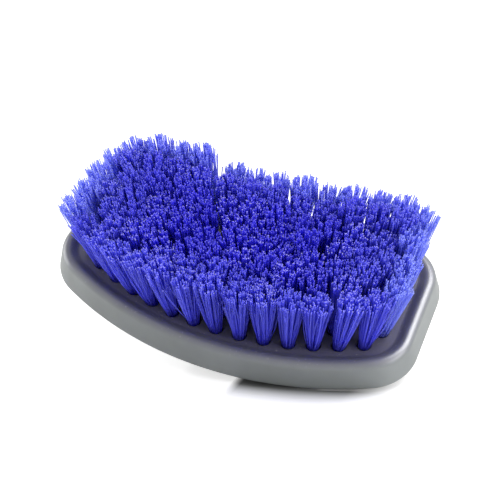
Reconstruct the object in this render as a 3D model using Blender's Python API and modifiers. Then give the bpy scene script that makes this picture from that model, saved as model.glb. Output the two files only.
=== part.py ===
"""Palm-held tire brush: a moulded block with a palm dome and rows of splayed bristle tufts.

The brush lies bristles up on its palm dome and on the front right of its rim, as it rests on a table.
Everything is modelled in the block's own level frame: X along the brush, -Y towards the bowed front
edge, +Z along the bristles, zero height at the crest of the lip. An empty then tips the brush to rest.
Units are metres and radians.
"""

import math

import bmesh
import bpy
from mathutils import Matrix, Vector

# Outline of the block at the foot of its wall
FOOT_HALF_LENGTH = 0.0791
FOOT_DEPTH = 0.0856
FRONT_RADIUS = 0.1502
CORNER_RADIUS = 0.0212
END_TAPER = math.radians(3.0)

# Wall and lip, from the foot upwards
FOOT_ROUND = 0.0012
FOOT_BAND = 0.0010
WALL_HEIGHT = 0.0088
WALL_DRAFT = 0.0018
LIP_WIDTH = 0.0028
LIP_RISE = 0.0028
LIP_INNER_ROUND = 0.0015

# Bristle face, cut into strips that sit in the pocket inside the lip
FACE_DROP = 0.0020
STRIP_THICKNESS = 0.0040
FIT_GAP = 0.0003

# Palm dome under the block
DOME_HALF_LENGTH = 0.0300
DOME_HALF_WIDTH = 0.0270
DOME_HEIGHT = 0.0262
DOME_BACK_SHIFT = 0.0030
DOME_FLARE = 0.0050
DOME_ROOT = 0.0005
DOME_BREAK = math.radians(62.0)

# Tufts
EDGE_ROW_INSET = 0.0135
TUFT_PITCH = 0.0105
FIELD_ROWS = 6
ROW_END_SHARE = 0.78
ROW_LENGTH_SHARE = 0.97
EDGE_ROW_START = 0.0017
TUFT_HALF_SPACING = 0.0011
TUFT_FLARE = 2.0
STRAND_ROOT_WIDTH = 0.0013
STRAND_TIP_WIDTH = 0.0016
STRAND_EMBED = 0.0012
BRISTLE_LENGTH = 0.0287
TRIM_RISE_RIGHT = 0.0050
TRIM_RISE_FRONT = 0.0034
SPLAY_SHARE = 0.10

# Finishes
BLOCK_COLOUR = (0.21, 0.22, 0.22)
BLOCK_ROUGHNESS = 0.42
BRISTLE_COLOUR = (0.045, 0.05, 0.55)
BRISTLE_ROUGHNESS = 0.35

# How the brush lies: the front edge dips and the left end rises
FRONT_DIP = math.radians(28.4)
END_RISE = math.radians(9.9)

# Smoothness of the meshes
ARC_STEPS = 4
CORNER_STEPS = 7
FRONT_STEPS = 12
DOME_STEPS = 48
DOME_PROFILE_STEPS = 7
MERGE_DISTANCE = 0.00001
SHARP_ANGLE = math.radians(35.0)

# Heights in the block's frame, and insets from the foot's outline
WALL_TOP = -LIP_RISE
FOOT_HEIGHT = WALL_TOP - WALL_HEIGHT
UNDERSIDE = FOOT_HEIGHT - FOOT_ROUND
FACE_HEIGHT = -FACE_DROP
POCKET_FLOOR = FACE_HEIGHT - STRIP_THICKNESS - FIT_GAP
POCKET_INSET = WALL_DRAFT + LIP_WIDTH + LIP_INNER_ROUND
STRIP_INSET = POCKET_INSET + FIT_GAP
ROW_PITCH = (FOOT_DEPTH - 2 * EDGE_ROW_INSET) / (FIELD_ROWS + 1)
FIELD_INSET = EDGE_ROW_INSET + ROW_PITCH / 2


def clear_scene():
    """Removes whatever the scene holds."""
    for thing in list(bpy.data.objects):
        bpy.data.objects.remove(thing, do_unlink=True)


def collection(name):
    """Makes a collection in the scene."""
    group = bpy.data.collections.new(name)
    bpy.context.scene.collection.children.link(group)
    return group


def plastic(name, colour, roughness):
    """A plain moulded or drawn plastic."""
    material = bpy.data.materials.new(name)
    material.use_nodes = True
    shader = material.node_tree.nodes["Principled BSDF"]
    shader.inputs["Base Color"].default_value = (*colour, 1.0)
    shader.inputs["Roughness"].default_value = roughness
    shader.inputs["Metallic"].default_value = 0.0
    return material


def arc(centre, radius, start, end, steps):
    """Points on an arc, each with its outward normal."""
    turns = [start + (end - start) * step / steps for step in range(steps + 1)]
    return [(Vector(centre) + Vector((math.cos(turn), math.sin(turn))) * radius,
             Vector((math.cos(turn), math.sin(turn)))) for turn in turns]


def foot_outline():
    """The block's outline at the foot, counter-clockwise from the front centre, with normals."""
    front_y = -FOOT_DEPTH / 2
    bow_centre = Vector((0.0, front_y + FRONT_RADIUS))
    end_normal = Vector((math.cos(END_TAPER), math.sin(END_TAPER)))
    end_reach = FOOT_HALF_LENGTH * end_normal.x - CORNER_RADIUS
    # The front corner's centre lies this far from the bow's centre and on the end's inner line
    reach = FRONT_RADIUS - CORNER_RADIUS
    along = Vector((-end_normal.y, end_normal.x))
    start = end_normal * end_reach
    to_start = start - bow_centre
    middle = to_start.dot(along)
    slide = -middle - math.sqrt(middle ** 2 - to_start.length_squared + reach ** 2)
    front_corner = start + along * slide
    back_corner_y = FOOT_DEPTH / 2 - CORNER_RADIUS
    back_corner = Vector(((end_reach - back_corner_y * end_normal.y) / end_normal.x, back_corner_y))
    to_corner = front_corner - bow_centre
    bow_end = math.atan2(to_corner.y, to_corner.x)
    right = arc(bow_centre, FRONT_RADIUS, -math.pi / 2, bow_end, FRONT_STEPS)
    right += arc(front_corner, CORNER_RADIUS, bow_end, END_TAPER, CORNER_STEPS)[1:]
    right += arc(back_corner, CORNER_RADIUS, END_TAPER, math.pi / 2, CORNER_STEPS)
    left = [(Vector((-p.x, p.y)), Vector((-n.x, n.y))) for p, n in reversed(right[1:])]
    return right + left


def inset_outline(inset):
    """The outline's points, moved in from the foot's outline."""
    return [point - normal * inset for point, normal in foot_outline()]


def prism(points, low, high):
    """A closed upright prism on a flat outline."""
    mesh = bmesh.new()
    floor = mesh.faces.new([mesh.verts.new((point.x, point.y, low)) for point in points])
    rise = bmesh.ops.extrude_face_region(mesh, geom=[floor])
    top = [part for part in rise["geom"] if isinstance(part, bmesh.types.BMVert)]
    bmesh.ops.translate(mesh, verts=top, vec=(0.0, 0.0, high - low))
    bmesh.ops.recalc_face_normals(mesh, faces=mesh.faces)
    return mesh


def end_face(mesh, direction):
    """The prism's face that looks most nearly along a direction."""
    return max(mesh.faces, key=lambda face: face.normal.dot(direction) * face.calc_area())


def step_in(mesh, face, steps):
    """Carries a flat face inwards and along its normal, a ring of faces for each step."""
    for thickness, depth in steps:
        bmesh.ops.inset_region(mesh, faces=[face], thickness=thickness, depth=depth,
                               use_even_offset=True)


def quarter_round(across, along, outward):
    """Steps of a quarter turn: across first and along last where outward, or the other way round."""
    turns = [math.pi / 2 * step / ARC_STEPS for step in range(ARC_STEPS + 1)]
    if outward:
        places = [(across * (1 - math.cos(turn)), along * math.sin(turn)) for turn in turns]
    else:
        places = [(across * math.sin(turn), along * (1 - math.cos(turn))) for turn in turns]
    return [(b[0] - a[0], b[1] - a[1]) for a, b in zip(places, places[1:])]


def block_mesh():
    """The block: rounded foot, drafted wall, rounded lip and the pocket for the bristle face."""
    mesh = prism(inset_outline(0.0), FOOT_HEIGHT, FOOT_HEIGHT + FOOT_BAND)
    crest = end_face(mesh, Vector((0.0, 0.0, 1.0)))
    steps = [(WALL_DRAFT, WALL_HEIGHT - FOOT_BAND)]
    steps += quarter_round(LIP_WIDTH, LIP_RISE, True)
    steps += quarter_round(LIP_INNER_ROUND, -LIP_INNER_ROUND, False)
    step_in(mesh, crest, steps)
    pocket = bmesh.ops.extrude_face_region(mesh, geom=[crest])
    floor = [part for part in pocket["geom"] if isinstance(part, bmesh.types.BMVert)]
    bmesh.ops.translate(mesh, verts=floor, vec=(0.0, 0.0, POCKET_FLOOR + LIP_INNER_ROUND))
    mesh.faces.ensure_lookup_table()
    if crest.is_valid:
        bmesh.ops.delete(mesh, geom=[crest], context="FACES_ONLY")
    mesh.normal_update()
    sole = end_face(mesh, Vector((0.0, 0.0, -1.0)))
    step_in(mesh, sole, quarter_round(FOOT_ROUND, FOOT_ROUND, True))
    return mesh


def dome_profile():
    """Half section of the palm dome from its root in the block to its crown, as radius and height."""
    crown = [(DOME_HALF_WIDTH * math.sin(turn), -DOME_HEIGHT * math.cos(turn))
             for turn in (DOME_BREAK * step / DOME_PROFILE_STEPS for step in range(DOME_PROFILE_STEPS + 1))]
    edge_radius, edge_height = crown[-1]
    slope = DOME_HEIGHT * math.sin(DOME_BREAK) / (DOME_HALF_WIDTH * math.cos(DOME_BREAK))
    knee = edge_radius - edge_height / slope
    flare = []
    for step in range(1, DOME_PROFILE_STEPS + 1):
        share = step / DOME_PROFILE_STEPS
        keep = (1 - share) ** 2
        turn = 2 * share * (1 - share)
        radius = edge_radius * keep + knee * turn + (knee + DOME_FLARE) * share ** 2
        flare.append((radius, edge_height * keep + DOME_ROOT * share ** 2))
    skirt = crown + flare
    return [(0.0, DOME_ROOT)] + skirt[::-1]


def finish_object(name, mesh, material, group, pose):
    """Turns a bmesh into a named object that lies as the pose says."""
    data = bpy.data.meshes.new(name)
    mesh.to_mesh(data)
    mesh.free()
    thing = bpy.data.objects.new(name, data)
    if material is not None:
        data.materials.append(material)
    group.objects.link(thing)
    thing.parent = pose
    return thing


def hide_cutter(thing):
    """Marks an object that only cuts or joins others."""
    thing.hide_render = True
    thing.display_type = "WIRE"
    return thing


def smooth(thing):
    """Smooth shading with the sharp edges kept."""
    thing.data.shade_smooth()
    thing.data.set_sharp_from_angle(angle=SHARP_ANGLE)


def boolean(thing, tool, operation):
    """Joins or cuts an object with another."""
    modifier = thing.modifiers.new(tool.name, "BOOLEAN")
    modifier.operation = operation
    modifier.solver = "EXACT"
    modifier.object = tool


def dome_centre():
    """The middle of the palm dome's base, a little behind the middle of the outline."""
    return Vector((0.0, DOME_BACK_SHIFT, UNDERSIDE))


def make_dome(cutters, pose):
    """The palm dome: a turned profile, stretched along the brush."""
    mesh = bmesh.new()
    verts = [mesh.verts.new((radius, 0.0, height)) for radius, height in dome_profile()]
    for first, second in zip(verts, verts[1:]):
        mesh.edges.new((first, second))
    dome = hide_cutter(finish_object("palm_dome_form", mesh, None, cutters, pose))
    dome.location = dome_centre()
    dome.scale = (DOME_HALF_LENGTH / DOME_HALF_WIDTH, 1.0, 1.0)
    screw = dome.modifiers.new("turn", "SCREW")
    screw.steps = DOME_STEPS
    screw.render_steps = DOME_STEPS
    screw.use_merge_vertices = True
    screw.merge_threshold = MERGE_DISTANCE
    return dome


def rest_turn():
    """Turns the level block to the way that the brush lies."""
    return Matrix.Rotation(END_RISE, 4, "Y") @ Matrix.Rotation(FRONT_DIP, 4, "X")


def rim_height():
    """How far the lowest point of the tipped rim lies under the block's own origin."""
    turn = rest_turn()
    points = inset_outline(FOOT_ROUND)
    return min((turn @ Vector((p.x, p.y, FOOT_HEIGHT))).z for p in points) - FOOT_ROUND


def make_table_cut(cutters, pose):
    """A box whose top lies in the table's plane, to give the dome its flat rest."""
    turn = rest_turn()
    down = turn.inverted() @ Vector((0.0, 0.0, -1.0))
    axes = Vector((DOME_HALF_LENGTH, DOME_HALF_WIDTH, DOME_HEIGHT))
    reach = Vector(axes[i] * down[i] for i in range(3)).length
    touch = dome_centre() + Vector(axes[i] ** 2 * down[i] / reach for i in range(3))
    half = DOME_HEIGHT
    mesh = bmesh.new()
    bmesh.ops.create_cube(mesh, size=half * 2)
    cut = hide_cutter(finish_object("table_cut_form", mesh, None, cutters, pose))
    level = rim_height() - (turn @ touch).z
    centre = touch - down * level + down * half
    cut.matrix_local = Matrix.Translation(centre) @ turn.inverted()
    return cut


def tip_of(root):
    """Where a tuft that starts at a root ends: splayed outwards and trimmed on a slope."""
    to_right = root.x / FOOT_HALF_LENGTH
    to_front = -root.y / (FOOT_DEPTH / 2)
    length = BRISTLE_LENGTH + TRIM_RISE_RIGHT * to_right + TRIM_RISE_FRONT * to_front
    return Vector((root.x * (1 + SPLAY_SHARE), root.y * (1 + SPLAY_SHARE), FACE_HEIGHT + length))


def strand(mesh, centre, offset):
    """One four-sided strand of a tuft, from inside its strip to its trimmed tip."""
    root = Vector((centre.x + offset.x, centre.y + offset.y, FACE_HEIGHT))
    tip = tip_of(centre) + Vector((offset.x, offset.y, 0.0)) * TUFT_FLARE
    run = (tip - root).normalized()
    start = root - run * STRAND_EMBED
    length = (tip - start).length
    turn = run.to_track_quat("Z", "Y").to_matrix().to_4x4()
    place = Matrix.Translation((start + tip) / 2) @ turn
    corner_share = math.sqrt(0.5)
    bmesh.ops.create_cone(mesh, segments=4, cap_ends=True, depth=length, matrix=place,
                          radius1=STRAND_ROOT_WIDTH * corner_share,
                          radius2=STRAND_TIP_WIDTH * corner_share)


def make_row(name, plate, tufts, group, cutters, pose):
    """One strip of the bristle face with its tufts fused to it."""
    strands = bmesh.new()
    for centre in tufts:
        for side in (-1, 1):
            for end in (-1, 1):
                strand(strands, centre, Vector((side, end)) * TUFT_HALF_SPACING)
    form = hide_cutter(finish_object(name + "_strands", strands, None, cutters, pose))
    blue = plastic(name + "_bristle", BRISTLE_COLOUR, BRISTLE_ROUGHNESS)
    row = finish_object(name, plate, blue, group, pose)
    boolean(row, form, "UNION")
    return row


def edge_track():
    """The edge row's line with normals, and the distance walked to each point."""
    points = [(point - normal * EDGE_ROW_INSET, normal) for point, normal in foot_outline()]
    points.append(points[0])
    walked = [0.0]
    for (first, _), (second, _) in zip(points, points[1:]):
        walked.append(walked[-1] + (second - first).length)
    return points, walked


def track_place(track, distance, inset):
    """The point at a distance along the edge row's line, moved to another inset."""
    points, walked = track
    distance %= walked[-1]
    step = max(i for i, reach in enumerate(walked[:-1]) if reach <= distance)
    share = (distance - walked[step]) / (walked[step + 1] - walked[step])
    point = points[step][0].lerp(points[step + 1][0], share)
    normal = points[step][1].lerp(points[step + 1][1], share).normalized()
    return point - normal * (inset - EDGE_ROW_INSET)


def drawn_in(place):
    """A place for a tuft, drawn a little towards the middle of the brush's length."""
    return Vector((place.x * ROW_LENGTH_SHARE, place.y))


def edge_rows():
    """The tufts that follow the lip, shared out over four sides, as name, plate and tufts."""
    track = edge_track()
    length = track[1][-1]
    count = round(length / TUFT_PITCH)
    pitch = length / count
    places = [EDGE_ROW_START + pitch * step for step in range(count)]
    corners = sorted(corner_distances(track))
    cuts = [EDGE_ROW_START + pitch * (math.floor((corner - EDGE_ROW_START) / pitch) + 0.5)
            for corner in corners]
    names = ("bristle_edge_right", "bristle_edge_back", "bristle_edge_left", "bristle_edge_front")
    rows = []
    for index, name in enumerate(names):
        start = cuts[index]
        end = cuts[(index + 1) % len(cuts)]
        if end < start:
            end += length
        tufts = [drawn_in(track_place(track, place, EDGE_ROW_INSET))
                 for lap in (0.0, length) for place in (p + lap for p in places) if start < place < end]
        first = start + FIT_GAP / 2
        last = end - FIT_GAP / 2
        bends = [reach + lap for lap in (0.0, length) for reach in track[1][:-1]]
        walk = [first] + [reach for reach in bends if first < reach < last] + [last]
        outer = [track_place(track, place, STRIP_INSET) for place in walk]
        inner = [track_place(track, place, FIELD_INSET - FIT_GAP / 2) for place in reversed(walk)]
        plate = prism(outer + inner, FACE_HEIGHT - STRIP_THICKNESS, FACE_HEIGHT)
        rows.append((name, plate, tufts))
    return rows


def corner_distances(track):
    """How far along the edge row's line each corner lies."""
    points, walked = track
    targets = [math.radians(angle) for angle in (-45, 45, 135, -135)]
    distances = []
    for target in targets:
        aim = Vector((math.cos(target), math.sin(target)))
        best = max(range(len(points) - 1), key=lambda i: points[i][1].dot(aim))
        distances.append(walked[best])
    return distances


def cut_plate(low, high):
    """The part of the inner field between two lines across the brush, as a closed plate."""
    mesh = prism(inset_outline(FIELD_INSET + FIT_GAP / 2), FACE_HEIGHT - STRIP_THICKNESS, FACE_HEIGHT)
    for place, side in ((low, -1.0), (high, 1.0)):
        geometry = mesh.verts[:] + mesh.edges[:] + mesh.faces[:]
        cut = bmesh.ops.bisect_plane(mesh, geom=geometry, plane_co=(0.0, place, 0.0),
                                     plane_no=(0.0, side, 0.0), clear_outer=True)
        edges = [part for part in cut["geom_cut"] if isinstance(part, bmesh.types.BMEdge)]
        if edges:
            bmesh.ops.edgeloop_fill(mesh, edges=edges)
    bmesh.ops.recalc_face_normals(mesh, faces=mesh.faces)
    return mesh


def half_width(height, inset):
    """Half the length of the outline across the brush at a place between front and back."""
    points = inset_outline(inset)
    widths = [0.0]
    for first, second in zip(points, points[1:]):
        low, high = sorted((first.y, second.y))
        if first.x >= 0 and second.x >= 0 and low <= height <= high and high > low:
            share = (height - first.y) / (second.y - first.y)
            widths.append(first.x + (second.x - first.x) * share)
    return max(widths)


def field_rows():
    """The straight, staggered rows inside the edge rows, as name, plate and tufts."""
    front = -FOOT_DEPTH / 2 + EDGE_ROW_INSET
    rows = []
    for index in range(FIELD_ROWS):
        middle = front + ROW_PITCH * (index + 1)
        room = half_width(middle, EDGE_ROW_INSET + ROW_PITCH * ROW_END_SHARE)
        shift = TUFT_PITCH / 2 if index % 2 else 0.0
        reach = math.floor((room - shift) / TUFT_PITCH)
        steps = range(-reach - (1 if shift else 0), reach + 1)
        tufts = [drawn_in(Vector((step * TUFT_PITCH + shift, middle))) for step in steps]
        reach_out = (ROW_PITCH - FIT_GAP) / 2
        plate = cut_plate(middle - reach_out, middle + reach_out)
        rows.append(("bristle_row_%d" % (index + 1), plate, tufts))
    return rows


def centre_over_origin(pose, parts):
    """Moves the whole brush so that the middle of its box stands over the origin."""
    bpy.context.view_layer.update()
    graph = bpy.context.evaluated_depsgraph_get()
    corners = []
    for part in parts:
        made = part.evaluated_get(graph)
        corners += [made.matrix_world @ vertex.co for vertex in made.data.vertices]
    for axis in (0, 1):
        values = [corner[axis] for corner in corners]
        pose.location[axis] -= (min(values) + max(values)) / 2
    bpy.context.view_layer.update()


def main():
    """Builds the brush."""
    clear_scene()
    group = collection("tire_brush")
    cutters = collection("forms_and_cutters")
    pose = bpy.data.objects.new("rest_pose", None)
    group.objects.link(pose)
    pose.rotation_euler = rest_turn().to_euler()
    pose.location = (0.0, 0.0, -rim_height())
    grey = plastic("block_plastic", BLOCK_COLOUR, BLOCK_ROUGHNESS)
    block = finish_object("block", block_mesh(), grey, group, pose)
    boolean(block, make_dome(cutters, pose), "UNION")
    boolean(block, make_table_cut(cutters, pose), "DIFFERENCE")
    smooth(block)
    parts = [block]
    for name, plate, tufts in edge_rows() + field_rows():
        parts.append(make_row(name, plate, tufts, group, cutters, pose))
        print(name, len(tufts), "tufts")
    centre_over_origin(pose, parts)


main()
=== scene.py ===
"""Looks of a palm-held tire brush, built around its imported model.

The brush is a moulded grey block with a bowed front edge, a palm dome under it and tufts of blue
filament. It is modelled level, in the block's own frame: X along the brush, -Y towards the bowed edge,
+Z along the bristles, zero at the crest of the lip. Each mesh is then turned to the way the brush lies.
Units are metres and radians.
"""

import logging
import math
import random
from dataclasses import dataclass, field
from enum import Enum
from typing import Iterable, Optional, Union

import bmesh
import bpy
from mathutils import Matrix, Vector
from mathutils.kdtree import KDTree


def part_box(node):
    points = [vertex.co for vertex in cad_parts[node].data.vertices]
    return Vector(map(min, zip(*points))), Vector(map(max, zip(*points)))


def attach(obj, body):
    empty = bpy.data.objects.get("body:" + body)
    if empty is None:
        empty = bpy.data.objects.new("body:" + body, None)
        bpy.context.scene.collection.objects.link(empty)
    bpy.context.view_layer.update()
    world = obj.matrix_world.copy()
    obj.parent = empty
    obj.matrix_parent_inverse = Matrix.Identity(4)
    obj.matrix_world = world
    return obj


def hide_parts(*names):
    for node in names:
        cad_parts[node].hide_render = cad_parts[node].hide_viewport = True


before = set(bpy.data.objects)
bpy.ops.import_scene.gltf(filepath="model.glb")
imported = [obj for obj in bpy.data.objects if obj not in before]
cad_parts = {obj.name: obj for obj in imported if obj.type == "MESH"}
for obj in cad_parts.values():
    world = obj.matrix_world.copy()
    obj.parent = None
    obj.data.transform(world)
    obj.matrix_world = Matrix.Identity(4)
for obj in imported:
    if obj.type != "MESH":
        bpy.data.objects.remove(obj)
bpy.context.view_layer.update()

LOG = logging.getLogger("tire_brush")
MILLIMETRE = 0.001
BODY = "root"
SEED = 7
MERGE_DISTANCE = MILLIMETRE / 100
GOLDEN_TURN = math.pi * (3 - math.sqrt(5))
ORIGIN = (0.0, 0.0, 0.0)
UP = (0.0, 0.0, 1.0)
WHITE = (1.0, 1.0, 1.0)
BLACK = (0.0, 0.0, 0.0)

# A Mix node's sockets: its factor and two colours go in, and one colour comes out
MIX_INPUTS = (0, 6, 7)
MIX_OUTPUT = 2

Colour = tuple[float, float, float]
Setting = Union[str, int, float, bool]
Amount = Union[float, "Signal"]
Tint = Union[Colour, "Signal"]
Inputs = dict[Union[int, str], Union[float, Colour, "Signal"]]


class Slot(Enum):
    """The record's material slots."""

    BLOCK = "block_plastic"
    BRISTLE = "bristle_plastic"


def new_object(name: str, data: bpy.types.ID) -> bpy.types.Object:
    """Makes an object in the scene.

    Args:
        name: The object's name.
        data: Its mesh, curve, lamp or camera.

    Returns:
        The object, at the origin.
    """
    thing = bpy.data.objects.new(name, data)
    bpy.context.scene.collection.objects.link(thing)
    return thing


def mesh_data(name: str, mesh: bmesh.types.BMesh) -> bpy.types.Mesh:
    """Turns a bmesh into mesh data.

    Args:
        name: The data's name.
        mesh: The bmesh, which is freed.

    Returns:
        The data.
    """
    data = bpy.data.meshes.new(name)
    mesh.to_mesh(data)
    mesh.free()
    return data


class Signal:
    """A value that runs through a material's nodes, with arithmetic on it."""

    def __init__(self, tree: "ShaderTree", socket: Optional[bpy.types.NodeSocket]) -> None:
        """Wraps an output of the tree's nodes, or None for a node that ends the tree."""
        self.tree = tree
        self.socket = socket

    def _maths(self, operation: str, first: Amount, second: Amount) -> "Signal":
        """The result of a Math node on two values."""
        return self.tree.add("ShaderNodeMath", {"operation": operation}, {0: first, 1: second})

    def __add__(self, other: Amount) -> "Signal":
        """Sum."""
        return self._maths("ADD", self, other)

    def __radd__(self, other: Amount) -> "Signal":
        """Sum, from the right."""
        return self._maths("ADD", other, self)

    def __sub__(self, other: Amount) -> "Signal":
        """Difference."""
        return self._maths("SUBTRACT", self, other)

    def __rsub__(self, other: Amount) -> "Signal":
        """Difference, from the right."""
        return self._maths("SUBTRACT", other, self)

    def __mul__(self, other: Amount) -> "Signal":
        """Product."""
        return self._maths("MULTIPLY", self, other)

    def __rmul__(self, other: Amount) -> "Signal":
        """Product, from the right."""
        return self._maths("MULTIPLY", other, self)

    def __pow__(self, other: Amount) -> "Signal":
        """Power."""
        return self._maths("POWER", self, other)

    def at_most(self, other: Amount) -> "Signal":
        """The smaller of two values."""
        return self._maths("MINIMUM", self, other)

    def at_least(self, other: Amount) -> "Signal":
        """The larger of two values."""
        return self._maths("MAXIMUM", self, other)

    def held(self) -> "Signal":
        """The value, held between zero and one."""
        return self.at_least(0.0).at_most(1.0)


class ShaderTree:
    """The nodes of one material or of the world."""

    def __init__(self, holder: Union[bpy.types.Material, bpy.types.World]) -> None:
        """Empties the holder's nodes.

        Args:
            holder: The material or world.
        """
        holder.use_nodes = True
        self.nodes = holder.node_tree.nodes
        self.links = holder.node_tree.links
        self.nodes.clear()

    def add(self, kind: str, settings: Optional[dict[str, Setting]] = None,
            values: Optional[Inputs] = None, output: Union[int, str] = 0,
            stops: Iterable[tuple[float, Colour]] = ()) -> Signal:
        """Adds a node of any type.

        Args:
            kind: The node's type.
            settings: Its properties, which are set first.
            values: Its inputs by name or place, as constants or signals.
            output: The output to return.
            stops: A colour ramp's places and colours.

        Returns:
            The chosen output.
        """
        node = self.nodes.new(kind)
        for name, value in (settings or {}).items():
            setattr(node, name, value)
        for index, (place, colour) in enumerate(stops):
            ramp = node.color_ramp.elements
            stop = ramp[index] if index < len(ramp) else ramp.new(place)
            stop.position = place
            stop.color = (*colour, 1.0)
        for name, value in (values or {}).items():
            socket = node.inputs[name]
            if isinstance(value, Signal):
                self.links.new(value.socket, socket)
            elif isinstance(value, tuple) and socket.type == "RGBA":
                socket.default_value = (*value, 1.0)
            else:
                socket.default_value = value
        return Signal(self, node.outputs[output] if node.outputs else None)

    def attribute(self, name: str) -> Signal:
        """A value that the mesh carries at each of its points."""
        return self.add("ShaderNodeAttribute", {"attribute_name": name}, output="Fac")

    def noise(self, size: float, detail: float) -> Signal:
        """Noise fixed to the piece, by its clouds' size and finer layers, about a half on average."""
        place = self.add("ShaderNodeTexCoord", output="Object")
        return self.add("ShaderNodeTexNoise", values={"Vector": place, "Scale": 1 / size, "Detail": detail})

    def mix(self, share: Amount, first: Tint, second: Tint, blend: str = "MIX") -> Signal:
        """Two colours mixed, where the share is how much of the second shows."""
        return self.add("ShaderNodeMix", {"data_type": "RGBA", "blend_type": blend},
                        dict(zip(MIX_INPUTS, (share, first, second))), output=MIX_OUTPUT)


@dataclass(frozen=True)
class MouldedPlastic:
    """Grey moulded plastic with fine grain and faint mottling, dusty on the sunk face, with painted shade
    and a painted blue reflection of the bristles on the sunk face and lip crest.
    """

    name: str = "moulded_grey_plastic"
    shade: Colour = (0.236, 0.254, 0.252)
    shade_spread: float = 0.08
    # Painted shade, tinted by a painted blue reflection of the bristles, for the sunk face and lip crest
    face_painted_shade: Colour = (0.115, 0.11, 0.155)
    roughness: float = 0.36
    roughness_spread: float = 0.12
    specular: float = 0.8
    dust_shade: Colour = (0.42, 0.42, 0.44)
    dust_size: float = 1.1 * MILLIMETRE
    dust_share: float = 0.5
    dust_start: float = 0.64
    dust_edge: float = 12.0
    mottle_size: float = 14 * MILLIMETRE
    mottle_places: tuple[float, float] = (0.3, 0.7)
    cloud_detail: float = 3.0
    grain_size: float = 0.45 * MILLIMETRE
    grain_height: float = 0.02 * MILLIMETRE
    grain_strength: float = 0.5
    grain_detail: float = 2.0

    def material(self) -> bpy.types.Material:
        """Makes the finish.

        Returns:
            The material.
        """
        material = bpy.data.materials.new(self.name)
        tree = ShaderTree(material)
        mottle = tree.noise(self.mottle_size, self.cloud_detail)
        dark = tuple(channel * (1 - self.shade_spread) for channel in self.shade)
        light = tuple(channel * (1 + self.shade_spread) for channel in self.shade)
        colour = tree.add("ShaderNodeValToRGB", values={"Fac": mottle},
                          stops=zip(self.mottle_places, (dark, light)))
        bump = tree.add("ShaderNodeBump", values={
            "Height": tree.noise(self.grain_size, self.grain_detail), "Distance": self.grain_height,
            "Strength": self.grain_strength})
        roughness = self.roughness + (mottle - 0.5) * self.roughness_spread
        # The sunk face and the lip's crest are mixed towards the painted shade and painted blue reflection
        # of the bristles
        sunk = tree.attribute("sunk")
        shade_painted = tree.mix(sunk, colour, self.face_painted_shade)
        dust = tree.noise(self.dust_size, self.cloud_detail)
        specks = ((dust - self.dust_start) * self.dust_edge).held()
        dusty = tree.mix(specks * sunk * self.dust_share, shade_painted, self.dust_shade)
        shader = tree.add("ShaderNodeBsdfPrincipled", values={
            "Base Color": dusty, "Roughness": roughness, "Normal": bump,
            "Specular IOR Level": self.specular})
        tree.add("ShaderNodeOutputMaterial", values={"Surface": shader})
        return material


@dataclass(frozen=True)
class Filament:
    """Blue translucent filament, with painted shade at the root and on the upper shank, painted highlights
    on some cut tips and painted light through the edge filaments.
    """

    name: str = "blue_filament"
    # One blue, painted darker at the root and on the upper shank as shade, lighter in between
    root_painted_shade: Colour = (0.05, 0.035, 0.95)
    shank_shade: Colour = (0.11, 0.10, 1.0)
    upper_painted_shade: Colour = (0.055, 0.036, 0.86)
    # Painted highlight for the cut tips
    tip_painted_highlight: Colour = (0.80, 0.76, 1.0)
    glow_shade: Colour = (0.34, 0.32, 1.0)
    # Painted light coming through the filaments at the brush's edges: a paler glow and a paler colour
    edge_glow_shade: Colour = (0.62, 0.68, 1.0)
    edge_painted_light: Colour = (0.60, 0.66, 1.0)
    roughness: float = 0.32
    clearness: float = 0.62
    edge_clearness: float = 0.78
    shank_place: float = 0.4
    upper_place: float = 0.96
    edge_onset: float = 1.5
    cut_place: float = 0.988
    cut_edge: float = 180.0
    catch_gain: float = 4.0
    catch_start: float = 2.2
    dull_tip: float = 0.15
    tone_spread: float = 0.28
    tone_middle: float = 0.6

    def material(self) -> bpy.types.Material:
        """Makes the finish.

        Returns:
            The material.
        """
        material = bpy.data.materials.new(self.name)
        tree = ShaderTree(material)
        along = tree.attribute("along")
        tone = tree.attribute("tone")
        pale = tree.attribute("pale")
        # The ramp along the filament paints shade at the root and on the upper shank
        colour = tree.add("ShaderNodeValToRGB", values={"Fac": along}, stops=(
            (0.0, self.root_painted_shade), (self.shank_place, self.shank_shade),
            (self.upper_place, self.upper_painted_shade)))
        # Filaments at the edges are painted paler towards their tips, as painted light coming through them
        colour = tree.mix(pale * (along * self.edge_onset).at_most(1.0), colour, self.edge_painted_light)
        # Painted highlight on the cut tips of the filaments that catch the light, chosen by their tone
        cut = ((along - self.cut_place) * self.cut_edge).held()
        caught = (tone * self.catch_gain - self.catch_start).at_least(self.dull_tip).at_most(1.0)
        colour = tree.mix(cut * caught, colour, self.tip_painted_highlight)
        level = tone * self.tone_spread + (1 - self.tone_spread * self.tone_middle)
        grey = tree.add("ShaderNodeCombineColor", values={channel: level for channel in range(3)})
        toned = tree.mix(1.0, colour, grey, "MULTIPLY")
        surface = tree.add("ShaderNodeBsdfPrincipled", values={
            "Base Color": toned, "Roughness": self.roughness})
        inside = tree.add("ShaderNodeBsdfTranslucent", values={"Color": self.glow_shade})
        inner = tree.add("ShaderNodeMixShader", values={0: self.clearness, 1: surface, 2: inside})
        # Edge filaments get more of a paler glow, as painted light coming through them
        outside = tree.add("ShaderNodeBsdfTranslucent", values={"Color": self.edge_glow_shade})
        shader = tree.add("ShaderNodeMixShader", values={
            0: pale * self.edge_clearness, 1: inner, 2: outside})
        tree.add("ShaderNodeOutputMaterial", values={"Surface": shader})
        return material


@dataclass(frozen=True)
class RestPose:
    """How the brush lies: the front edge dips and the left end rises."""

    front_dip: float = math.radians(28.4)
    end_rise: float = math.radians(9.9)

    def turn(self) -> Matrix:
        """Turns the level block to the way that it lies."""
        return Matrix.Rotation(self.end_rise, 4, "Y") @ Matrix.Rotation(self.front_dip, 4, "X")


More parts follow.
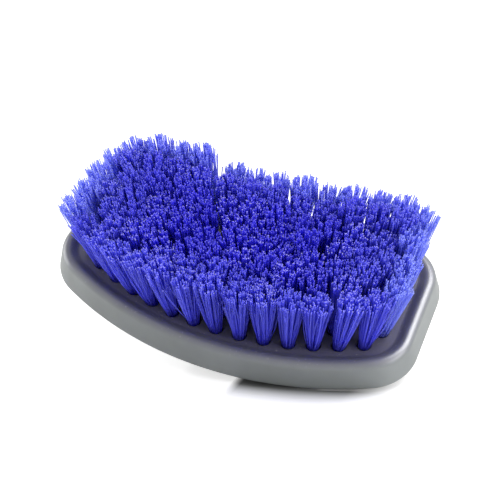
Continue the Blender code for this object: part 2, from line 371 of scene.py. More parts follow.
@dataclass(frozen=True)
class Outline:
    """The block's outline at the foot of its wall: bowed front, tapered ends, straight back."""

    half_length: float = 79.1 * MILLIMETRE
    depth: float = 85.6 * MILLIMETRE
    bow_radius: float = 150.2 * MILLIMETRE
    corner_radius: float = 21.2 * MILLIMETRE
    end_taper: float = math.radians(3.0)
    bow_steps: int = 12
    corner_steps: int = 7

    def face(self, mesh: bmesh.types.BMesh, inset: float, height: float) -> bmesh.types.BMFace:
        """Adds a flat face with the outline, by spinning a point round each arc and mirroring.

        Args:
            mesh: The mesh to add to.
            inset: How far inside the foot's outline the face ends.
            height: The face's height.

        Returns:
            The face, looking up.
        """
        bow_centre = Vector((0.0, self.bow_radius - self.depth / 2, height))
        across = Vector((math.cos(self.end_taper), math.sin(self.end_taper), 0.0))
        along = Vector((-across.y, across.x, 0.0))
        line = across * (self.half_length * across.x - self.corner_radius) + Vector((0.0, 0.0, height))
        reach = self.bow_radius - self.corner_radius
        away = line - bow_centre
        middle = away.dot(along)
        back_off = middle + math.sqrt(middle ** 2 - away.length_squared + reach ** 2)
        front_corner = line - along * back_off
        back_y = self.depth / 2 - self.corner_radius
        back_corner = line + along * ((back_y - line.y) / along.y)
        to_corner = front_corner - bow_centre
        bow_turn = math.atan2(to_corner.y, to_corner.x) + math.pi / 2
        start = mesh.verts.new((0.0, inset - self.depth / 2, height))
        last = self._spin(mesh, start, bow_centre, bow_turn, self.bow_steps)
        last = self._spin(mesh, last, front_corner, math.pi / 2 - bow_turn + self.end_taper,
                          self.corner_steps)
        straight = bmesh.ops.extrude_vert_indiv(mesh, verts=[last])["verts"][0]
        straight.co += back_corner - front_corner
        self._spin(mesh, straight, back_corner, math.pi / 2 - self.end_taper, self.corner_steps)
        bmesh.ops.mirror(mesh, geom=mesh.verts[:] + mesh.edges[:], axis="X", merge_dist=MERGE_DISTANCE)
        ends = [vert for vert in mesh.verts if len(vert.link_edges) == 1]
        mesh.edges.new(ends)
        filled = bmesh.ops.edgeloop_fill(mesh, edges=mesh.edges[:])["faces"][0]
        filled.normal_update()
        if filled.normal.z < 0:
            filled.normal_flip()
        return filled

    def _spin(self, mesh: bmesh.types.BMesh, point: bmesh.types.BMVert, centre: Vector, turn: float,
              steps: int) -> bmesh.types.BMVert:
        """Draws an arc from a point.

        Args:
            mesh: The mesh to draw in.
            point: Where the arc starts.
            centre: The arc's centre.
            turn: The angle, counter-clockwise.
            steps: The number of edges.

        Returns:
            The arc's last point.
        """
        drawn = bmesh.ops.spin(mesh, geom=[point], cent=centre, axis=UP, dvec=ORIGIN, angle=turn,
                               steps=steps)
        return next(part for part in drawn["geom_last"] if isinstance(part, bmesh.types.BMVert))

    def loop(self, inset: float) -> list[Vector]:
        """The outline's points at an inset.

        Args:
            inset: How far inside the foot's outline they lie.

        Returns:
            The points, counter-clockwise from the front centre.
        """
        mesh = bmesh.new()
        points = [vert.co.xy.copy() for vert in self.face(mesh, inset, 0.0).verts]
        mesh.free()
        first = min(range(len(points)), key=lambda i: abs(points[i].x) + max(0.0, points[i].y))
        points = points[first:] + points[:first]
        return points if points[1].x > 0 else [points[0]] + points[:0:-1]


@dataclass
class Placement:
    """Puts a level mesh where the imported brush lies."""

    pose: RestPose = field(default_factory=RestPose)
    shift: Vector = field(default_factory=Vector)

    def fit(self, mesh: bmesh.types.BMesh, node: str) -> None:
        """Sets the shift so that a mesh's box lies where a node's box is.

        Args:
            mesh: The level mesh.
            node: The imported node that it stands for.
        """
        turned = [self.pose.turn() @ vert.co for vert in mesh.verts]
        low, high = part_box(node)
        for axis in range(3):
            own = (min(point[axis] for point in turned), max(point[axis] for point in turned))
            self.shift[axis] = (low[axis] + high[axis] - own[0] - own[1]) / 2

    def matrix(self) -> Matrix:
        """From the block's frame to the world."""
        return Matrix.Translation(self.shift) @ self.pose.turn()

    def piece(self, name: str, mesh: bmesh.types.BMesh, finish: bpy.types.Material,
              slot: Slot) -> bpy.types.Object:
        """Makes a piece of a level mesh.

        Args:
            name: The piece's name.
            mesh: Its mesh, in the block's frame, which is freed.
            finish: Its material.
            slot: The record's slot for its finish; not used.

        Returns:
            The piece, riding on the body.
        """
        bmesh.ops.transform(mesh, matrix=self.matrix(), verts=mesh.verts)
        data = mesh_data(name, mesh)
        data.materials.append(finish)
        data.shade_smooth()
        piece = new_object(name, data)
        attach(piece, BODY)
        return piece


@dataclass
class Block:
    """The moulded block: wall, lip, sunk face with a hole for each tuft, and the palm dome."""

    outline: Outline = Outline(bow_steps=56, corner_steps=20)
    foot_round: float = 1.2 * MILLIMETRE
    foot_band: float = 1.0 * MILLIMETRE
    wall_height: float = 8.8 * MILLIMETRE
    wall_draft: float = 1.8 * MILLIMETRE
    lip_width: float = 3.2 * MILLIMETRE
    lip_rise: float = 2.8 * MILLIMETRE
    lip_slope: float = 4.4 * MILLIMETRE
    face_drop: float = 2.0 * MILLIMETRE
    hole_radius: float = 2.9 * MILLIMETRE
    hole_depth: float = 3.0 * MILLIMETRE
    hole_lead: float = 0.35 * MILLIMETRE
    dome_half_length: float = 30.0 * MILLIMETRE
    dome_half_width: float = 27.0 * MILLIMETRE
    dome_height: float = 26.2 * MILLIMETRE
    dome_back_shift: float = 3.0 * MILLIMETRE
    dome_flare: float = 5.0 * MILLIMETRE
    dome_root: float = 0.5 * MILLIMETRE
    dome_break: float = math.radians(62.0)
    round_steps: int = 8
    dome_steps: int = 96
    profile_steps: int = 12
    hole_sides: int = 20
    sharp_angle: float = math.radians(30.0)
    # The crest's share of the painted shade, and how fast the painted shade grows down the inner slope
    crest_shade_share: float = 0.75
    shade_fall_power: int = 2

    @property
    def foot_height(self) -> float:
        """Height of the foot, where the wall is widest."""
        return -self.lip_rise - self.wall_height

    @property
    def underside(self) -> float:
        """Height of the flat underside."""
        return self.foot_height - self.foot_round

    def quarter(self, across: float, along: float) -> list[tuple[float, float]]:
        """Steps of a quarter turn that starts along the face's normal and ends level.

        Args:
            across: How far the turn goes inwards.
            along: How far it goes along the face's normal.

        Returns:
            The steps, each as thickness and depth.
        """
        turns = [math.pi / 2 * step / self.round_steps for step in range(self.round_steps + 1)]
        places = [(across * (1 - math.cos(turn)), along * math.sin(turn)) for turn in turns]
        return [(b[0] - a[0], b[1] - a[1]) for a, b in zip(places, places[1:])]

    def soft_slope(self, across: float, along: float) -> list[tuple[float, float]]:
        """Steps of a slope that starts and ends level.

        Args:
            across: How far the slope goes inwards.
            along: How far it goes along the face's normal.

        Returns:
            The steps, each as thickness and depth.
        """
        count = 2 * self.round_steps
        falls = [(1 - math.cos(math.pi * step / count)) / 2 * along for step in range(count + 1)]
        return [(across / count, b - a) for a, b in zip(falls, falls[1:])]

    def shell(self) -> bmesh.types.BMesh:
        """The block without its dome and holes.

        Returns:
            The closed mesh.
        """
        mesh = bmesh.new()
        sole = self.outline.face(mesh, 0.0, self.foot_height)
        raised = bmesh.ops.extrude_face_region(mesh, geom=[sole])["geom"]
        verts = [part for part in raised if isinstance(part, bmesh.types.BMVert)]
        bmesh.ops.translate(mesh, verts=verts, vec=(0.0, 0.0, self.foot_band))
        bmesh.ops.recalc_face_normals(mesh, faces=mesh.faces)
        crest = max(mesh.faces, key=lambda face: face.normal.z * face.calc_area())
        steps = [(self.wall_draft, self.wall_height - self.foot_band)]
        steps += self.quarter(self.lip_width, self.lip_rise)
        steps += self.soft_slope(self.lip_slope, -self.face_drop)
        sole = max(mesh.faces, key=lambda face: -face.normal.z * face.calc_area())
        self.step_in(mesh, crest, steps)
        self.step_in(mesh, sole, self.quarter(self.foot_round, self.foot_round))
        return mesh

    @staticmethod
    def step_in(mesh: bmesh.types.BMesh, face: bmesh.types.BMFace,
                steps: list[tuple[float, float]]) -> None:
        """Carries a flat face inwards and along its normal, with a ring of faces for each step.

        Args:
            mesh: The mesh that holds the face.
            face: The flat face.
            steps: How far inwards and along each step goes.
        """
        for thickness, depth in steps:
            bmesh.ops.inset_region(mesh, faces=[face], thickness=thickness, depth=depth,
                                   use_even_offset=True)

    def dome(self) -> bmesh.types.BMesh:
        """The palm dome, turned from its profile and stretched along the brush.

        Returns:
            The closed mesh.
        """
        count = self.profile_steps
        turns = [self.dome_break * step / count for step in range(count + 1)]
        crown = [(self.dome_half_width * math.sin(turn), -self.dome_height * math.cos(turn))
                 for turn in turns]
        radius, height = crown[-1]
        slope = self.dome_height * math.tan(self.dome_break) / self.dome_half_width
        knee = radius - height / slope
        # A quadratic curve leads from the crown's edge, by the knee, to the flare at the underside
        for step in range(1, count + 1):
            share = step / count
            keep = (1 - share) ** 2
            turn = 2 * share * (1 - share)
            crown.append((radius * keep + knee * turn + (knee + self.dome_flare) * share ** 2,
                          height * keep + self.dome_root * share ** 2))
        crown.append((0.0, self.dome_root))
        mesh = bmesh.new()
        verts = [mesh.verts.new((across, 0.0, along)) for across, along in crown]
        edges = [mesh.edges.new(pair) for pair in zip(verts, verts[1:])]
        bmesh.ops.spin(mesh, geom=verts + edges, cent=ORIGIN, axis=UP, dvec=ORIGIN, angle=math.tau,
                       steps=self.dome_steps, use_merge=True)
        bmesh.ops.remove_doubles(mesh, verts=mesh.verts, dist=MERGE_DISTANCE)
        bmesh.ops.recalc_face_normals(mesh, faces=mesh.faces)
        stretch = Matrix.Diagonal((self.dome_half_length / self.dome_half_width, 1.0, 1.0, 1.0))
        move = Matrix.Translation((0.0, self.dome_back_shift, self.underside))
        bmesh.ops.transform(mesh, matrix=move @ stretch, verts=mesh.verts)
        return mesh

    def holes(self, places: list[Vector]) -> bmesh.types.BMesh:
        """Cutters for the tufts' holes, each with a small lead at its mouth.

        Args:
            places: The tufts' places on the face.

        Returns:
            The mesh of the cutters.
        """
        mesh = bmesh.new()
        for place in places:
            sunk = Matrix.Translation((place.x, place.y, -self.face_drop - self.hole_depth / 2))
            made = bmesh.ops.create_cone(mesh, segments=self.hole_sides, cap_ends=True, matrix=sunk,
                                         radius1=self.hole_radius, radius2=self.hole_radius,
                                         depth=self.hole_depth - 2 * self.hole_lead)
            caps = {face for vert in made["verts"] for face in vert.link_faces}
            top = max(caps, key=lambda face: face.calc_center_median().z)
            # One step widens the mouth up to the face, and one more carries the cutter past it
            for _ in range(2):
                grown = bmesh.ops.extrude_face_region(mesh, geom=[top])["geom"]
                bmesh.ops.delete(mesh, geom=[top], context="FACES_ONLY")
                top = next(part for part in grown if isinstance(part, bmesh.types.BMFace))
                rim = [part for part in grown if isinstance(part, bmesh.types.BMVert)]
                centre = top.calc_center_median()
                for vert in rim:
                    vert.co += (vert.co - centre).normalized() * self.hole_lead
                    vert.co.z += self.hole_lead
        bmesh.ops.recalc_face_normals(mesh, faces=mesh.faces)
        return mesh

    def table_cut(self, placement: Placement) -> bmesh.types.BMesh:
        """A block under the table's plane, which gives the dome its flat rest.

        Args:
            placement: Where the brush lies.

        Returns:
            The cutter.
        """
        mesh = bmesh.new()
        bmesh.ops.create_cube(mesh, size=self.outline.depth)
        down = Matrix.Translation((0.0, 0.0, -self.outline.depth / 2))
        bmesh.ops.transform(mesh, matrix=placement.matrix().inverted() @ down, verts=mesh.verts)
        return mesh

    def mark_face(self, mesh: bmesh.types.BMesh) -> None:
        """Stores how far each point lies down the lip's inner slope, as the share of painted shade on the
        sunk face and lip crest.

        Args:
            mesh: The block's level mesh.
        """
        crest = self.outline.loop(self.wall_draft + self.lip_width)
        tree = KDTree(len(crest))
        for index, point in enumerate(crest):
            tree.insert((point.x, point.y, 0.0), index)
        tree.balance()
        sunk = mesh.verts.layers.float.new("sunk")
        for vert in mesh.verts:
            flat = Vector((vert.co.x, vert.co.y, 0.0))
            nearest = tree.find(flat)[0]
            fall = min(1.0, max(0.0, -vert.co.z / self.face_drop))
            # Inside the crest the painted shade grows down the slope; outside it fades down the outer round
            if flat.length < nearest.length and vert.co.z > self.foot_height:
                vert[sunk] = self.crest_shade_share + (1 - self.crest_shade_share) * fall ** self.shade_fall_power
            else:
                vert[sunk] = self.crest_shade_share * (1 - fall)

    def build(self, placement: Placement, places: list[Vector], finish: bpy.types.Material) -> None:
        """Makes the block's piece.

        Args:
            placement: Where the brush lies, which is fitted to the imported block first.
            places: The tufts' places on the face.
            finish: The block's material.
        """
        level = join_shapes(self.shell(), [(self.dome(), "UNION")])
        placement.fit(level, "block")
        mesh = join_shapes(level, [(self.table_cut(placement), "DIFFERENCE"),
                                   (self.holes(places), "DIFFERENCE")])
        self.mark_face(mesh)
        piece = placement.piece("block_moulding", mesh, finish, Slot.BLOCK)
        piece.data.set_sharp_from_angle(angle=self.sharp_angle)
        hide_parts("block")
        LOG.info("block_moulding: %d faces, %d holes", len(piece.data.polygons), len(places))


def join_shapes(base: bmesh.types.BMesh,
                tools: list[tuple[bmesh.types.BMesh, str]]) -> bmesh.types.BMesh:
    """Joins or cuts a closed mesh with others.

    Args:
        base: The mesh to change, which is freed.
        tools: The other meshes, which are freed, each with UNION or DIFFERENCE.

    Returns:
        The new mesh.
    """
    meshes = [base] + [tool for tool, _ in tools]
    holders = [new_object("shape", mesh_data("shape", mesh)) for mesh in meshes]
    for holder, (_, operation) in zip(holders[1:], tools):
        modifier = holders[0].modifiers.new("cut", "BOOLEAN")
        modifier.operation = operation
        modifier.solver = "EXACT"
        modifier.object = holder
    graph = bpy.context.evaluated_depsgraph_get()
    result = bmesh.new()
    result.from_mesh(holders[0].evaluated_get(graph).to_mesh())
    for holder in holders:
        data = holder.data
        bpy.data.objects.remove(holder, do_unlink=True)
        bpy.data.meshes.remove(data)
    return result


@dataclass
class TuftLayout:
    """Where the tufts stand: one row that follows the lip and straight staggered rows inside it."""

    outline: Outline = Outline()
    edge_inset: float = 13.5 * MILLIMETRE
    pitch: float = 10.5 * MILLIMETRE
    edge_start: float = 1.7 * MILLIMETRE
    field_rows: int = 6
    row_end_share: float = 0.78
    row_length_share: float = 0.97
    corner_aims: tuple[float, ...] = (-45, 45, 135, -135)

    @property
    def row_pitch(self) -> float:
        """Distance between the straight rows."""
        return (self.outline.depth - 2 * self.edge_inset) / (self.field_rows + 1)

    def edges(self) -> dict[str, list[Vector]]:
        """The tufts that follow the lip.

        Returns:
            The tufts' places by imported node.
        """
        loop = self.outline.loop(self.edge_inset)
        loop.append(loop[0])
        walked = [0.0]
        for first, second in zip(loop, loop[1:]):
            walked.append(walked[-1] + (second - first).length)
        length = walked[-1]
        count = round(length / self.pitch)
        pitch = length / count
        corners = [self._corner(loop, walked, angle) for angle in self.corner_aims]
        cuts = [self.edge_start + pitch * (math.floor((corner - self.edge_start) / pitch) + 0.5)
                for corner in sorted(corners)]
        rows: dict[str, list[Vector]] = {name: [] for name in (
            "bristle_edge_right", "bristle_edge_back", "bristle_edge_left", "bristle_edge_front")}
        for step in range(count):
            reach = self.edge_start + pitch * step
            # Before the first cut the row is still at the front, which is the last side
            side = sum(1 for cut in cuts if reach > cut) - 1
            list(rows.values())[side].append(self._drawn_in(self._walk(loop, walked, reach)))
        return rows

    def _drawn_in(self, place: Vector) -> Vector:
        """A tuft's place, drawn a little towards the middle of the brush's length."""
        return Vector((place.x * self.row_length_share, place.y))

    @staticmethod
    def _walk(loop: list[Vector], walked: list[float], reach: float) -> Vector:
        """The point at a distance along a loop.

        Args:
            loop: The loop's points, with the first one again at the end.
            walked: How far along the loop each point lies.
            reach: The distance.

        Returns:
            The point.
        """
        step = max(i for i, far in enumerate(walked[:-1]) if far <= reach)
        share = (reach - walked[step]) / (walked[step + 1] - walked[step])
        return loop[step].lerp(loop[step + 1], share)

    @staticmethod
    def _corner(loop: list[Vector], walked: list[float], angle: float) -> float:
        """How far along a loop the point lies that reaches furthest in a direction, in degrees."""
        aim = Vector((math.cos(math.radians(angle)), math.sin(math.radians(angle))))
        return walked[max(range(len(loop) - 1), key=lambda i: loop[i].dot(aim))]

    def field(self) -> dict[str, list[Vector]]:
        """The straight rows' tufts.

        Returns:
            The tufts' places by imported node.
        """
        room_line = self.outline.loop(self.edge_inset + self.row_pitch * self.row_end_share)
        rows: dict[str, list[Vector]] = {}
        for index in range(self.field_rows):
            middle = self.edge_inset - self.outline.depth / 2 + self.row_pitch * (index + 1)
            room = self._half_width(room_line, middle)
            shift = self.pitch / 2 if index % 2 else 0.0
            reach = math.floor((room - shift) / self.pitch)
            steps = range(-reach - (1 if shift else 0), reach + 1)
            rows[f"bristle_row_{index + 1}"] = [
                self._drawn_in(Vector((step * self.pitch + shift, middle))) for step in steps]
        return rows

    @staticmethod
    def _half_width(loop: list[Vector], place: float) -> float:
        """Half the length of a loop along the brush, at a place between front and back.

        Args:
            loop: The loop's points.
            place: The place.

        Returns:
            The half length, or zero outside the loop.
        """
        widths = [0.0]
        for first, second in zip(loop, loop[1:]):
            low, high = sorted((first.y, second.y))
            if first.x >= 0 and second.x >= 0 and low <= place <= high and high > low:
                widths.append(first.lerp(second, (place - first.y) / (second.y - first.y)).x)
        return max(widths)


@dataclass(frozen=True)
class Sway:
    """A patch of tufts that leans, stands out or parts from the rest of the trim, in millimetres."""

    middle: tuple[float, float]
    reach: float
    offset: tuple[float, float, float] = (0.0, 0.0, 0.0)
    part: float = 0.0
    fade_power: int = 4

    def at(self, place: Vector) -> Vector:
        """How far the patch moves a tuft's tips.

        Args:
            place: The tuft's place on the face.

        Returns:
            The move, which fades out from the patch's middle.
        """
        away = place.xy / MILLIMETRE - Vector(self.middle)
        apart = away.normalized() * self.part
        move = (Vector(self.offset) + Vector((*apart, 0.0))) * MILLIMETRE
        return move * math.exp(-(away.length / self.reach) ** self.fade_power)


@dataclass
class Bristles:
    """The tufts: bundles of thin filaments that fan out from their holes to a sloping trim."""

    face_height: float = -2.0 * MILLIMETRE
    outline: Outline = Outline()
    length: float = 28.7 * MILLIMETRE
    rise_right: float = 5.0 * MILLIMETRE
    rise_front: float = 3.4 * MILLIMETRE
    splay_share: float = 0.10
    count: int = 122
    bundle_radius: float = 2.3 * MILLIMETRE
    root_depth: float = 1.5 * MILLIMETRE
    flare: float = 2.75
    crown_drop: float = 1.8 * MILLIMETRE
    clumps: int = 8
    clump_pull: float = 0.38
    filament_radius: float = 0.235 * MILLIMETRE
    filament_sag: float = 0.45 * MILLIMETRE
    tip_scatter: float = 0.42 * MILLIMETRE
    trim_scatter: float = 0.34 * MILLIMETRE
    tuft_lean: float = 0.45 * MILLIMETRE
    tuft_trim: float = 0.8 * MILLIMETRE
    stray_share: float = 0.045
    stray_scatter: float = 2.6 * MILLIMETRE
    stray_lengths: tuple[float, float] = (0.7, 0.93)
    ring_shares: tuple[float, ...] = (0.0, 0.3, 0.65, 0.992, 1.0)
    tuft_tone_share: float = 0.4
    sways: tuple[Sway, ...] = (
        Sway((-37.0, 28.0), 16.5, (0.0, 3.2, 2.8)), Sway((-22.8, 29.0), 8.5, part=3.5),
        Sway((6.0, 29.0), 13.0, (0.0, 0.8, 1.8)), Sway((44.0, 29.0), 18.0, (0.0, 2.6, 2.0)),
        Sway((64.0, 20.0), 14.0, (-1.2, 2.0, 3.6)), Sway((-18.0, 16.0), 9.0, part=2.2),
        Sway((-12.0, 2.0), 9.0, part=2.2), Sway((35.0, 4.0), 9.0, part=2.2),
        Sway((43.0, -14.0), 9.0, part=2.2), Sway((-19.0, -9.5), 8.0, part=2.2))
    swell: float = 1.3
    bevel_steps: int = 1
    cap_share: float = 0.1
    merge_share: float = 0.01
    clump_turn: float = 1.0
    # Painted light through the filaments: strongest at the ends, a little less at the back, weakest at the
    # front; the field rows get less, more near the outline
    edge_paleness: dict[str, float] = field(default_factory=lambda: {
        "bristle_edge_right": 1.0, "bristle_edge_back": 0.85, "bristle_edge_left": 1.0,
        "bristle_edge_front": 0.38})
    row_paleness: float = 0.5
    pale_reach: tuple[float, float] = (63.5 * MILLIMETRE, 29.3 * MILLIMETRE)
    pale_power: float = 2.5
    middle_side: float = 0.5
    least_side: float = 0.8
    chance: random.Random = field(default_factory=lambda: random.Random(SEED))

    def tip(self, place: Vector) -> Vector:
        """Where the middle of a tuft's trimmed end lies.

        Args:
            place: The tuft's place on the face.

        Returns:
            The point.
        """
        to_right = place.x / self.outline.half_length
        to_front = -place.y / (self.outline.depth / 2)
        length = self.length + self.rise_right * to_right + self.rise_front * to_front
        level = Vector((place.x * (1 + self.splay_share), place.y * (1 + self.splay_share),
                        self.face_height + length))
        return sum((sway.at(place) for sway in self.sways), level)

    def paleness(self, node: str, place: Vector, path: list[Vector]) -> float:
        """How much light comes through a filament at the edge of the brush.

        Args:
            node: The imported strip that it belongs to.
            place: Its tuft's place on the face.
            path: The filament's points.

        Returns:
            Zero for a filament in the middle of the brush, up to the strip's own share at its edge.
        """
        if node not in self.edge_paleness:
            reach = max(abs(place.x) / self.pale_reach[0], abs(place.y) / self.pale_reach[1])
            return self.row_paleness * reach ** self.pale_power
        away = path[-1].xy - self.tip(place).xy
        outward = place.xy.normalized()
        side = self.middle_side + away.dot(outward) / self.bundle_radius
        return self.edge_paleness[node] * min(1.0, max(self.least_side, side))

    def paths(self, place: Vector) -> list[list[Vector]]:
        """The filaments of one tuft.

        Args:
            place: The tuft's place on the face.

        Returns:
            Each filament's points, from inside the hole to the tip.
        """
        gauss = self.chance.gauss
        root = Vector((place.x, place.y, self.face_height - self.root_depth))
        crown = self.tip(place) + Vector((gauss(0, self.tuft_lean), gauss(0, self.tuft_lean),
                                          gauss(0, self.tuft_trim)))
        start = self.chance.random() * math.tau
        clumps = [self.spiral(index, self.clumps, start + self.clump_turn) * self.flare
                  for index in range(self.clumps)]
        made = []
        for index in range(self.count):
            offset = self.spiral(index, self.count, start)
            spread = offset * self.flare
            nearest = min(clumps, key=lambda clump: (clump - spread).length)
            spread = spread.lerp(nearest, self.clump_pull)
            stray = self.chance.random() < self.stray_share
            scatter = self.stray_scatter if stray else self.tip_scatter
            end = crown + spread + Vector((gauss(0, scatter), gauss(0, scatter),
                                           gauss(0, self.trim_scatter)))
            end.z -= self.crown_drop * (spread.length / (self.bundle_radius * self.flare)) ** 2
            foot = root + offset
            if stray:
                end = foot.lerp(end, self.chance.uniform(*self.stray_lengths))
            sag = Vector((gauss(0, self.filament_sag), gauss(0, self.filament_sag), 0.0))
            made.append([foot.lerp(end, share) + sag * math.sin(math.pi * share)
                         for share in self.ring_shares])
        return made

    def spiral(self, index: int, count: int, start: float) -> Vector:
        """One of a number of evenly spread places over the bundle's round section.

        Args:
            index: Which place.
            count: How many places there are.
            start: The angle of the first.

        Returns:
            The place, from the bundle's middle.
        """
        radius = self.bundle_radius * math.sqrt((index + 0.5) / count)
        turn = start + GOLDEN_TURN * index
        return Vector((math.cos(turn), math.sin(turn), 0.0)) * radius

    def build(self, node: str, places: list[Vector], placement: Placement,
              finish: bpy.types.Material) -> None:
        """Makes the filaments that stand for one packed strip.

        Args:
            node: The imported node.
            places: Its tufts' places.
            placement: Where the brush lies.
            finish: The filaments' material.
        """
        tufts = [(place, self.paths(place)) for place in places]
        paths = [path for _, made in tufts for path in made]
        pale = [self.paleness(node, place, path) for place, made in tufts for path in made]
        data = self.strands(node, paths)
        marks = [0.0, *self.ring_shares, 1.0]
        around = len(data.vertices) // (len(paths) * len(marks))
        self.mark(data, "along", [mark for _ in paths for mark in marks for _ in range(around)])
        for name, values in (("tone", self.tones(len(tufts))), ("pale", pale)):
            self.mark(data, name, [value for value in values for _ in range(len(marks) * around)])
        mesh = bmesh.new()
        mesh.from_mesh(data)
        bpy.data.meshes.remove(data)
        bmesh.ops.remove_doubles(mesh, verts=mesh.verts, dist=self.filament_radius * self.merge_share)
        bmesh.ops.recalc_face_normals(mesh, faces=mesh.faces)
        piece = placement.piece(node.replace("bristle", "filaments"), mesh, finish, Slot.BRISTLE)
        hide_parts(node)
        LOG.info("%s: %d filaments, %d faces", piece.name, len(paths), len(piece.data.polygons))

    def tones(self, tufts: int) -> list[float]:
        """How light each filament is, from zero to one, partly shared by its tuft.

        Args:
            tufts: The number of tufts.

        Returns:
            One value for each filament.
        """
        made = []
        for _ in range(tufts):
            shared = self.chance.random() * self.tuft_tone_share
            made += [shared + self.chance.random() * (1 - self.tuft_tone_share)
                     for _ in range(self.count)]
        return made

    @staticmethod
    def mark(data: bpy.types.Mesh, name: str, values: list[float]) -> None:
        """Stores a value at each point of a mesh, for the finish."""
        data.attributes.new(name, "FLOAT", "POINT").data.foreach_set("value", values)

    def strands(self, name: str, paths: list[list[Vector]]) -> bpy.types.Mesh:
        """Rounds the filaments' paths and closes their ends.

        Args:
            name: A name for the mesh.
            paths: The filaments' points.

        Returns:
            The mesh, whose points follow the paths in turn.
        """
        curve = bpy.data.curves.new(name, "CURVE")
        curve.dimensions = "3D"
        curve.bevel_depth = self.filament_radius
        curve.bevel_resolution = self.bevel_steps
        for path in paths:
            nudge = (path[-1] - path[-2]).normalized() * self.filament_radius * self.cap_share
            run = [path[0] - nudge, *path, path[-1] + nudge]
            spline = curve.splines.new("POLY")
            spline.points.add(len(run) - 1)
            spline.points.foreach_set("co", [value for spot in run for value in (*spot, 1.0)])
            widths = [0.0] + [1.0] * (len(path) - 1) + [self.swell, 0.0]
            spline.points.foreach_set("radius", widths)
        holder = new_object(name, curve)
        graph = bpy.context.evaluated_depsgraph_get()
        data = bpy.data.meshes.new_from_object(holder.evaluated_get(graph))
        bpy.data.objects.remove(holder, do_unlink=True)
        return data


@dataclass(frozen=True)
class Lamp:
    """A square soft lamp that faces the brush, and may show in the gloss alone."""

    name: str
    place: tuple[float, float, float]
    size: float
    power: float
    lights_colour: bool = True

    def hang(self) -> None:
        """Adds the lamp to the scene."""
        data = bpy.data.lights.new(self.name, "AREA")
        data.size = self.size
        data.energy = self.power
        lamp = new_object(self.name, data)
        lamp.location = self.place
        lamp.rotation_euler = Vector(self.place).to_track_quat("Z", "Y").to_euler()
        lamp.visible_diffuse = self.lights_colour


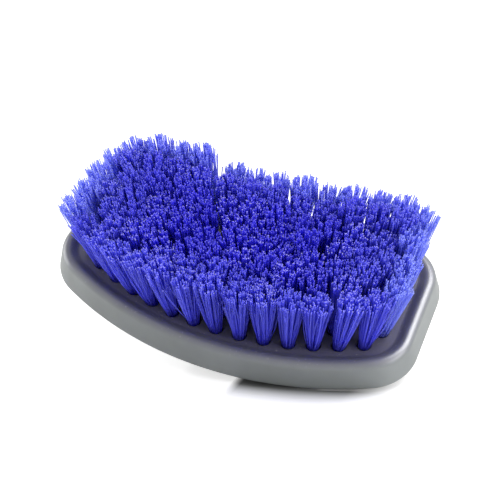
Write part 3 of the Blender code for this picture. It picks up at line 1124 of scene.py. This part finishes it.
@dataclass
class Studio:
    """Pale floor, soft light and the camera."""

    distance: float = 0.6667
    azimuth: float = math.radians(21.64)
    elevation: float = math.radians(19.66)
    lens: float = 115.2
    sensor: float = 36.0
    aim_behind: float = 11.2 * MILLIMETRE
    shift: tuple[float, float] = (-0.0048, 0.0054)
    floor_size: float = 30.0
    floor_shade: Colour = (0.88, 0.88, 0.88)
    floor_glow: float = 0.6
    floor_roughness: float = 0.12
    # Painted shadow and reflection colour under the lowered front of the rim
    contact_painted_shadow: Colour = (0.02, 0.025, 0.025)
    contact_middle: tuple[float, float] = (8.8 * MILLIMETRE, 100.8 * MILLIMETRE)
    contact_radius: float = 130.5 * MILLIMETRE
    contact_fade: float = 20.0 * MILLIMETRE
    contact_power: float = 2.5
    contact_fades_under: float = 3.0
    contact_start: float = 9.5 * MILLIMETRE
    contact_start_fade: float = 4.0 * MILLIMETRE
    contact_end: float = 76.0 * MILLIMETRE
    contact_end_fade: float = 20.0 * MILLIMETRE
    contact_depth: float = 0.82
    world_strength: float = 0.42
    lamps: tuple[Lamp, ...] = (
        Lamp("key", (0.48, 0.17, 0.85), 0.4, 3.8), Lamp("left", (-0.85, -0.05, 0.36), 0.6, 5.2),
        Lamp("right", (0.85, -0.20, 0.30), 0.5, 4.6),
        Lamp("sheen", (0.56, 0.15, 0.82), 0.75, 13.0, lights_colour=False))

    def camera(self, placement: Placement) -> None:
        """Sets the camera at the photograph's angle.

        Args:
            placement: Where the brush lies.
        """
        target = placement.matrix() @ Vector((0.0, self.aim_behind, 0.0))
        back = Vector((math.sin(self.azimuth) * math.cos(self.elevation),
                       -math.cos(self.azimuth) * math.cos(self.elevation), math.sin(self.elevation)))
        data = bpy.data.cameras.new("camera")
        data.lens = self.lens
        data.sensor_width = self.sensor
        data.shift_x, data.shift_y = self.shift
        camera = new_object("camera", data)
        camera.location = target + back * self.distance
        camera.rotation_euler = back.to_track_quat("Z", "Y").to_euler()
        bpy.context.scene.camera = camera

    def floor(self) -> None:
        """Lays the floor, with a painted shadow and reflection along the lowered front of the rim."""
        mesh = bmesh.new()
        bmesh.ops.create_grid(mesh, x_segments=1, y_segments=1, size=self.floor_size / 2)
        floor = new_object("floor", mesh_data("floor", mesh))
        material = bpy.data.materials.new("pale_floor")
        tree = ShaderTree(material)
        seen = tree.add("ShaderNodeLightPath", output="Is Camera Ray")
        contact = self.contact(tree)
        # Near the rim the floor is painted dark and loses its glow: painted shadow and painted reflection
        # of the rim's dark underside
        shaded = contact * self.contact_depth
        shade = tree.mix(shaded, self.floor_shade, self.contact_painted_shadow)
        glow = tree.mix(seen * (1 - contact) * (1 - shaded), BLACK, WHITE)
        shader = tree.add("ShaderNodeBsdfPrincipled", values={
            "Base Color": shade, "Roughness": self.floor_roughness, "Emission Color": glow,
            "Emission Strength": self.floor_glow})
        tree.add("ShaderNodeOutputMaterial", values={"Surface": shader})
        floor.data.materials.append(material)

    def contact(self, tree: ShaderTree) -> Signal:
        """How close a point of the floor is to the lowered front of the rim, which sets the painted shadow
        and reflection there.

        Args:
            tree: The floor's nodes.

        Returns:
            One at the rim, fading to zero away from it.
        """
        place = tree.add("ShaderNodeTexCoord", output="Object")
        along = tree.add("ShaderNodeSeparateXYZ", values={0: place}, output="X")
        across = tree.add("ShaderNodeSeparateXYZ", values={0: place}, output="Y")
        middle_x, middle_y = self.contact_middle
        gap = ((along - middle_x) ** 2 + (across - middle_y) ** 2) ** 0.5 - self.contact_radius
        fades = gap * (1 / self.contact_fade)
        near = (1 - fades).held() ** self.contact_power
        under = (fades + self.contact_fades_under).held()
        after_start = ((along - self.contact_start) * (1 / self.contact_start_fade)).held()
        before_end = ((self.contact_end - along) * (1 / self.contact_end_fade)).held()
        in_front = (1 - across * (1 / self.contact_fade)).held()
        return near * under * in_front * after_start * before_end

    def light(self) -> None:
        """Lights the brush from a white room and soft lamps."""
        world = bpy.data.worlds.new("white_room")
        bpy.context.scene.world = world
        tree = ShaderTree(world)
        rays = [tree.add("ShaderNodeLightPath", output=f"Is {kind} Ray")
                for kind in ("Camera", "Glossy", "Transmission")]
        shown = sum(rays[1:], rays[0]).at_most(1.0)
        strength = self.world_strength + shown * (1 - self.world_strength)
        background = tree.add("ShaderNodeBackground", values={"Color": WHITE, "Strength": strength})
        tree.add("ShaderNodeOutputWorld", values={"Surface": background})
        for lamp in self.lamps:
            lamp.hang()


def main() -> None:
    """Builds the brush and its studio."""
    logging.basicConfig(level=logging.INFO, format="%(name)s: %(message)s")
    layout = TuftLayout()
    rows = {**layout.edges(), **layout.field()}
    placement = Placement()
    grey = MouldedPlastic().material()
    blue = Filament().material()
    Block().build(placement, [place for places in rows.values() for place in places], grey)
    bristles = Bristles()
    for node, places in rows.items():
        bristles.build(node, places, placement, blue)
    studio = Studio()
    studio.floor()
    studio.light()
    studio.camera(placement)
    bpy.context.scene.view_settings.view_transform = "Standard"


if __name__ == "__main__":
    main()
